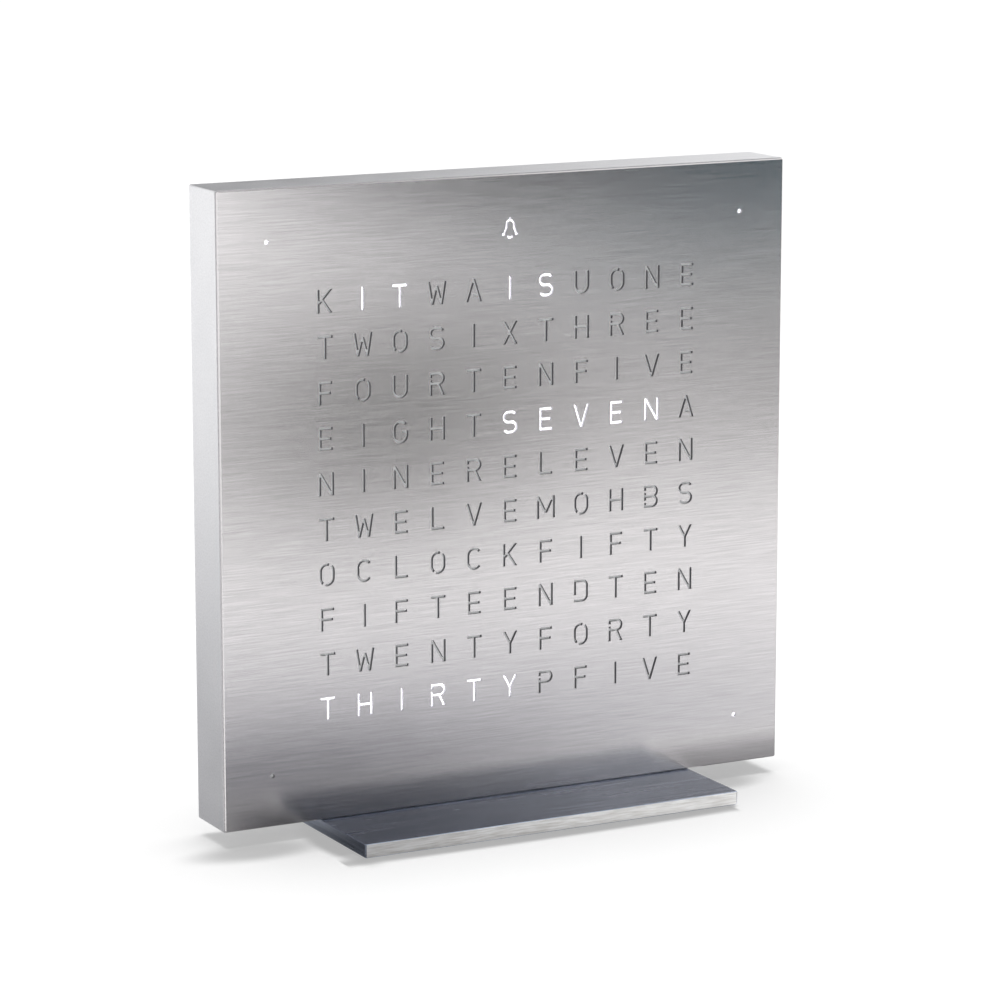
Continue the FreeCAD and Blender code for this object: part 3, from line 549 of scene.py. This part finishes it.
def lit_opal(name, strength):
    """Opal acrylic over a lamp that is on."""
    made, tree, shader = finish_of(name, "#f4f5f4", 0.45)
    shader.inputs["Emission Color"].default_value = linear("#fbfdff")
    tree.links.new(between(tree, seen(tree), strength, seen_glow, 0.0, 1.0),
                   shader.inputs["Emission Strength"])
    return made


lit = lit_opal("opal_acrylic_lit_from_behind", glow)
bell_lit = lit_opal("opal_acrylic_lit_behind_the_bell", bell_glow)

sheet_front = opal_low.y + sheet_setback
sheet_size = Vector((opal_high.x - opal_low.x, opal_high.y - sheet_front, opal_high.z - opal_low.z))
bpy.ops.mesh.primitive_cube_add(
    size=1, location=(0, (sheet_front + opal_high.y) / 2, (opal_low.z + opal_high.z) / 2),
    scale=sheet_size)
sheet = bpy.context.object
sheet.name = "opal_sheet_front"
bpy.ops.object.transform_apply()
bpy.ops.object.mode_set(mode="EDIT")
bpy.ops.mesh.select_mode(type="EDGE")
pick(lambda edge: abs(edge.verts[0].co.y - edge.verts[1].co.y) > opal_edge, "edges")
bpy.ops.mesh.bevel(offset=opal_corner, segments=8, affect="EDGES")
bpy.ops.object.mode_set(mode="OBJECT")
apply(sheet, "BEVEL", width=opal_edge, segments=2, limit_method="ANGLE")
smooth(sheet, 30)
settle(sheet, "clock_body", opal, ["diffuser"])

# Each lit patch is the skin of the same sheet over one cell of the light grid.
skin_front = opal_low.y + skin_setback
for number, (x, z, width, height) in enumerate(lit_cells):
    bpy.ops.mesh.primitive_cube_add(
        size=1, location=(x, skin_front + skin_thick / 2, z), scale=(width, skin_thick, height))
    patch = bpy.context.object
    patch.name = f"lit_patch_{number + 1}"
    bpy.ops.object.transform_apply()
    apply(patch, "BEVEL", width=0.3 * skin_thick, segments=2)
    settle(patch, "clock_body", bell_lit if z == bell_z else lit, ["diffuser"])


# ---- Front cover ----------------------------------------------------------------------------
# Stainless sheet, laser-cut through and then brushed along X with a belt, which draws long
# hairlines. The slots keep the darker, duller wall that the cut leaves.
cover_low, cover_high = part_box("front_cover")
hairline = 0.26 * MM
hairline_run = 45             # a hairline is this many times as long as it is wide
hairline_depth = 0.0025 * MM
streak_width = 1.2            # of a hairline's
brush_line = (1, 0.02, 0.03)  # a hair off X, so that the ends that face along X have one too
brushed_light = "#e9e6e7"
brushed_dark = "#d9d6d7"
belt_smooth = 0.18            # roughness between the streaks and in them
belt_dull = 0.22
cut_wall = "#737176"
rim_strip = 1 * MM            # the cover's outer walls are brushed, and lie in this strip
square_on = 0.9               # a face looks along an axis where its normal has more than this
slanting = 0.3                # and away from it where its normal has less than this


def squareness(tree, axis):
    """How much of a face's normal lies along an axis, whichever way it points."""
    normal = add(tree, "ShaderNodeNewGeometry").outputs["True Normal"]
    part = add(tree, "ShaderNodeSeparateXYZ", {"Vector": normal}).outputs[axis]
    return calc(tree, "ABSOLUTE", part)


def mix(tree, kind, factor, first, second):
    """Mixes two vectors, colours or numbers, each of which has its own sockets on the node."""
    start, result = {"VECTOR": (4, 1), "RGBA": (6, 2), "FLOAT": (2, 0)}[kind]
    node = add(tree, "ShaderNodeMix", {"Factor": factor, start: first, start + 1: second},
               data_type=kind)
    return node.outputs[result]


def brushed(name, light, dark, rough_low, rough_high, depth, width, run):
    """Steel brushed along X, and along Y on its ends. The lines blur reflections across
    themselves, and the belt bites deeper in some streaks than in others, which are duller."""
    made, tree, shader = finish_of(name, light, rough_low, 1.0)
    along = add(tree, "ShaderNodeTexCoord").outputs["Object"]
    part = add(tree, "ShaderNodeSeparateXYZ", {"Vector": along}).outputs
    turned_place = add(tree, "ShaderNodeCombineXYZ", {
        "X": part["Y"], "Y": part["X"], "Z": part["Z"]}).outputs["Vector"]
    end = calc(tree, "GREATER_THAN", squareness(tree, "X"), square_on)
    place = mix(tree, "VECTOR", end, along, turned_place)
    lines = grain(tree, width, 2.0, (run, 1, 1), place)
    streaks = grain(tree, streak_width * width, 3.0, (run, 1, 1), place)
    tree.links.new(between(tree, streaks, rough_low, rough_high), shader.inputs["Roughness"])
    shader.inputs["Anisotropic"].default_value = 0.5
    facing = add(tree, "ShaderNodeNewGeometry").outputs["Normal"]
    across = add(tree, "ShaderNodeVectorMath", {0: facing, 1: brush_line},
                 operation="CROSS_PRODUCT").outputs["Vector"]
    tree.links.new(across, shader.inputs["Tangent"])
    relief(tree, shader, lines, depth)
    return made, tree, shader, tint(tree, lines, dark, light)


cover_steel, tree, shader, colour = brushed(
    "brushed_stainless_cover", brushed_light, brushed_dark, belt_smooth, belt_dull,
    hairline_depth, hairline, hairline_run)
place = add(tree, "ShaderNodeSeparateXYZ",
            {"Vector": add(tree, "ShaderNodeTexCoord").outputs["Object"]}).outputs
cover_middle = (cover_low.z + cover_high.z) / 2
inner_reach = (cover_high.x - cover_low.x) / 2 - rim_strip
across = calc(tree, "ABSOLUTE", place["X"])
up = calc(tree, "ABSOLUTE", calc(tree, "SUBTRACT", place["Z"], cover_middle))
inside = calc(tree, "LESS_THAN", calc(tree, "MAXIMUM", across, up), inner_reach)
wall = calc(tree, "MULTIPLY", calc(tree, "LESS_THAN", squareness(tree, "Y"), slanting), inside)
tree.links.new(mix(tree, "RGBA", wall, colour, linear(cut_wall)), shader.inputs["Base Color"])
tree.links.new(between(tree, wall, 1.0, 0.0, 0.0, 1.0), shader.inputs["Metallic"])
dress("front_cover", cover_steel)


# ---- Base plate, its screws and its pad -----------------------------------------------------
# Steel flat bar, brushed along its length and milled on its long edges. Its top is painted a
# darker blue-grey as shade and dark reflection, and its long edges near white as a painted
# highlight. The body is screwed down on it from below, and a thin rubber sheet keeps it from
# slipping.
# Painted shade and reflection: the top's blue-grey is darker than bare steel.
shaded_top_light = "#c9d0df"
shaded_top_dark = "#9aa3b2"
base_smooth = 0.2            # roughness between the streaks and in them
base_dull = 0.28
base_line = 0.9 * MM         # drawn coarser than on the cover, as it is seen at a low angle
base_line_depth = 0.002 * MM
base_run = 26
# Painted highlight: the long edges' near white, with real cutter marks through it.
highlight_edge_light = "#ffffff"
highlight_edge_dark = "#dad8d5"
milled_dull = 0.32
cutter_line = 0.3 * MM
cutter_run = 14

plate_steel, tree, shader, colour = brushed(
    "brushed_steel_base_painted_light", shaded_top_light, shaded_top_dark, base_smooth, base_dull,
    base_line_depth, base_line, base_run)
milled = calc(tree, "GREATER_THAN", squareness(tree, "Y"), square_on)
cutter_marks = grain(tree, cutter_line, 3.0, stretch=(cutter_run, 1, 1))
highlight_edge_colour = tint(tree, cutter_marks, highlight_edge_dark, highlight_edge_light)
# The long edges take the painted highlight colour and a duller roughness.
tree.links.new(mix(tree, "RGBA", milled, colour, highlight_edge_colour), shader.inputs["Base Color"])
streaky = shader.inputs["Roughness"].links[0].from_socket
tree.links.new(mix(tree, "FLOAT", milled, streaky, milled_dull), shader.inputs["Roughness"])
dress("base_plate", plate_steel)

base_low, base_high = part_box("base_screws")
base_head = 2.9 * MM
base_shank = 1.45 * MM
base_cone = 1.7 * MM
base_key = base_head / math.sqrt(3)
base_middle = (base_low + base_high) / 2
for number in range(3):
    screw = flush_screw(f"base_screw_{number + 1}", base_head, base_shank, base_cone,
                        base_high.z - base_low.z, base_key)
    screw.rotation_euler = (math.radians(-90), 0, 0)
    screw.location = ((number - 1) * (base_high.x - base_head), base_middle.y, base_low.z)
    bake(screw)
    settle(screw, "clock_body", turned_steel, ["base_screws"])

pad_low, pad_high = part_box("base_pad")
cells_x = 28                 # shallow recesses under the pad, with ribs between them
cells_y = 16
rib_half = 0.35 * MM
rib_depth = 0.15 * MM
rubber, tree, shader = finish_of("black_silicone_rubber", "#202123", 0.7)
dust = grain(tree, 0.5 * MM, 4.0)
tree.links.new(tint(tree, dust, "#1d1e20", "#2c2d2f"), shader.inputs["Base Color"])
relief(tree, shader, dust, 0.01 * MM)
bpy.ops.mesh.primitive_grid_add(
    x_subdivisions=cells_x, y_subdivisions=cells_y, size=1, location=(0, 0, pad_low.z))
pad = bpy.context.object
pad.name = "base_pad_studded"
pad.scale = (pad_high.x - pad_low.x, pad_high.y - pad_low.y, 1)
bpy.ops.object.transform_apply()
bpy.ops.object.mode_set(mode="EDIT")
bpy.ops.mesh.select_mode(type="FACE")
bpy.ops.mesh.select_all(action="SELECT")
bpy.ops.mesh.extrude_region_move(
    TRANSFORM_OT_translate={"value": (0, 0, pad_high.z - pad_low.z)})
pick(lambda face: face.calc_center_median().z < pad_low.z + rib_depth
     and abs(face.normal.z) > square_on, "faces")
bpy.ops.mesh.inset(thickness=rib_half, use_individual=True)
bpy.ops.transform.translate(value=(0, 0, rib_depth))
bpy.ops.mesh.select_all(action="SELECT")
bpy.ops.mesh.normals_make_consistent(inside=False)
bpy.ops.object.mode_set(mode="OBJECT")
settle(pad, "clock_body", rubber, ["base_pad"])


# ---- Floor ----------------------------------------------------------------------------------
# A wide sheet of white card. It takes the clock's soft shadow and is white everywhere else.
floor_size = 40.0            # in metres
card_white = "#c8c8c8"
white_lift = 0.43            # of the white that the eye sees, so that shadows stay pale

bpy.ops.mesh.primitive_plane_add(size=floor_size, location=(0, 0, 0))
floor = bpy.context.object
floor.name = "floor"
card, tree, shader = finish_of("white_card", card_white, 0.9)
shader.inputs["Specular IOR Level"].default_value = 0.0
shader.inputs["Emission Color"].default_value = (1, 1, 1, 1)
tree.links.new(calc(tree, "MULTIPLY", seen(tree), white_lift), shader.inputs["Emission Strength"])
floor.data.materials.append(card)


# ---- Light ----------------------------------------------------------------------------------
# A white room, a broad soft light high behind the clock, and grey gauzes. Most are seen by
# the metal alone, and give the brushed steel its slow change from light to dark. The others
# deepen the shadow on the floor close to the clock.
room_level = 0.25
sun_level = 2.8
sun_spread = math.radians(45)
sun_lean = (math.radians(-5), math.radians(4), 0)

world = bpy.data.worlds.new("white_room")
bpy.context.scene.world = world
world.use_nodes = True
tree = world.node_tree
room = tree.nodes["Background"]
room.inputs["Color"].default_value = (1, 1, 1, 1)
tree.links.new(between(tree, seen(tree), room_level, 1.0, 0.0, 1.0), room.inputs["Strength"])


def gauze(name, low, high, heart, reach, tone, core=0.0):
    """Gauze that only reflections see, or, where it has a core, only the light on its way to
    the floor. It spans a rectangle, is darkest at its heart and over its core, where it has
    the tone, and clears towards its reach along each axis. All in millimetres."""
    low, high, heart = Vector(low) * MM, Vector(high) * MM, Vector(heart) * MM
    standing = low.y == high.y
    bpy.ops.mesh.primitive_plane_add(
        size=1, location=(low + high) / 2, rotation=(math.radians(90 if standing else 0), 0, 0))
    piece = bpy.context.object
    piece.name = name
    piece.scale = (high.x - low.x, high.z - low.z if standing else high.y - low.y, 1)
    bpy.ops.object.transform_apply()
    piece.visible_camera = False
    piece.visible_transmission = False
    piece.visible_glossy = core == 0
    piece.visible_diffuse = core > 0
    piece.visible_shadow = core > 0
    made = bpy.data.materials.new("grey_gauze_" + name)
    made.use_nodes = True
    tree = made.node_tree
    tree.nodes.remove(tree.nodes["Principled BSDF"])
    scale = [1 / (part * MM) if part else 0 for part in reach]
    place = add(tree, "ShaderNodeTexCoord")
    from_heart = add(tree, "ShaderNodeMapping", {
        "Vector": place.outputs["Object"], "Scale": scale,
        "Location": [-part * factor for part, factor in zip(heart, scale)]})
    density = add(tree, "ShaderNodeTexGradient",
                  {"Vector": from_heart.outputs["Vector"]}, gradient_type="SPHERICAL")
    grey = add(tree, "ShaderNodeValToRGB", {"Fac": density.outputs["Fac"]})
    grey.color_ramp.interpolation = "EASE"
    grey.color_ramp.elements[0].color = (1, 1, 1, 1)
    grey.color_ramp.elements[1].color = linear(tone)
    grey.color_ramp.elements[1].position = 1 - core
    veil = add(tree, "ShaderNodeBsdfTransparent", {"Color": grey.outputs["Color"]})
    tree.links.new(veil.outputs["BSDF"], tree.nodes["Material Output"].inputs["Surface"])
    piece.data.materials.append(made)


# In front of the clock: the face mirrors them.
gauze("upper_right_gauze", (0, -150, 40), (340, -150, 230),
      (150, -150, 125), (160, 0, 65), "#284550")
gauze("top_gauze", (0, -151, 60), (340, -151, 230),
      (70, -151, 130), (120, 0, 30), "#080f1a")
gauze("left_gauze", (-60, -152, 2), (200, -152, 130),
      (40, -152, 60), (90, 0, 50), "#999998")
gauze("right_gauze", (-80, -153, 2), (420, -153, 130),
      (280, -153, 65), (465, 0, 55), "#9c9c9b")

# Flat on the floor and just over the plate: the lower face and the plate's edge mirror them.
gauze("near_mat", (-250, -300, 0.3), (250, -41, 0.3),
      (-34, -54, 0.3), (114, 80, 0), "#949499")
gauze("far_mat", (-250, -300, 0.4), (250, -41, 0.4),
      (18, -76, 0.4), (225, 145, 0), "#c7c8cc")
gauze("corner_mat", (-86, -41, 0.4), (-45.2, 12, 0.4),
      (-51, -20, 0.4), (34, 46, 0), "#5a5a5e")
gauze("edge_mat", (-45.2, -41, 0.4), (60, -28, 0.4),
      (-70, -35, 0.4), (110, 100, 0), "#a6a6a8")
gauze("plate_gauze", (-46.5, -28, 3.8), (45, -7.1, 3.8),
      (-60, -17, 3.8), (130, 400, 0), "#b4b6bc")

# Further off, all round: the frame's walls, its top and the back mirror them.
gauze("left_mat", (-900, -4, 0.5), (-69, 1200, 0.5),
      (-70, 0, 0.5), (465, 785, 0), "#98989a")
gauze("right_mat", (50, -34, 0.5), (900, 1200, 0.5),
      (70, 0, 0.5), (465, 785, 0), "#98989a")
gauze("front_left_mat", (-900, -1200, 0.5), (-69, -30, 0.5),
      (-300, -380, 0.5), (300, 330, 0), "#6a6a6c")
gauze("front_left_gauze", (-1600, -700, 1), (-300, -700, 700),
      (-820, -700, 120), (700, 0, 480), "#606062")
gauze("front_high_gauze", (-1500, -600, 260), (1500, -600, 900),
      (0, -600, 430), (1500, 0, 400), "#606062")
gauze("high_gauze", (-40, -110, 300), (130, 40, 300),
      (35, -41, 300), (85, 80, 0), "#a8a8aa")
gauze("back_gauze", (-100, 130, 140), (350, 130, 430),
      (-20, 130, 180), (225, 0, 255), "#6c6c6e")

# On the floor beside the clock: they keep light off it.
gauze("left_shade", (-90, -24, 0.1), (-45, 4, 0.1),
      (-62, -11, 0.1), (20, 9, 0), "#8c8c8c", 0.3)
gauze("right_shade", (45, -20, 0.1), (70, 4, 0.1),
      (52, -9, 0.1), (12, 8, 0), "#989898", 0.3)
gauze("end_shade", (-60, -40, 0.15), (-42, 6, 0.15),
      (-45, -14, 0.15), (6, 21, 0), "#202020", 0.5)
gauze("front_shade", (-50, -34, 0.15), (44, -22, 0.15),
      (0, -28, 0.15), (90, 4.5, 0), "#383838", 0.4)

bpy.ops.object.light_add(type="SUN", rotation=sun_lean)
sun = bpy.context.object
sun.data.energy = sun_level
sun.data.angle = sun_spread
sun.visible_glossy = False

bpy.context.scene.view_settings.view_transform = "Standard"
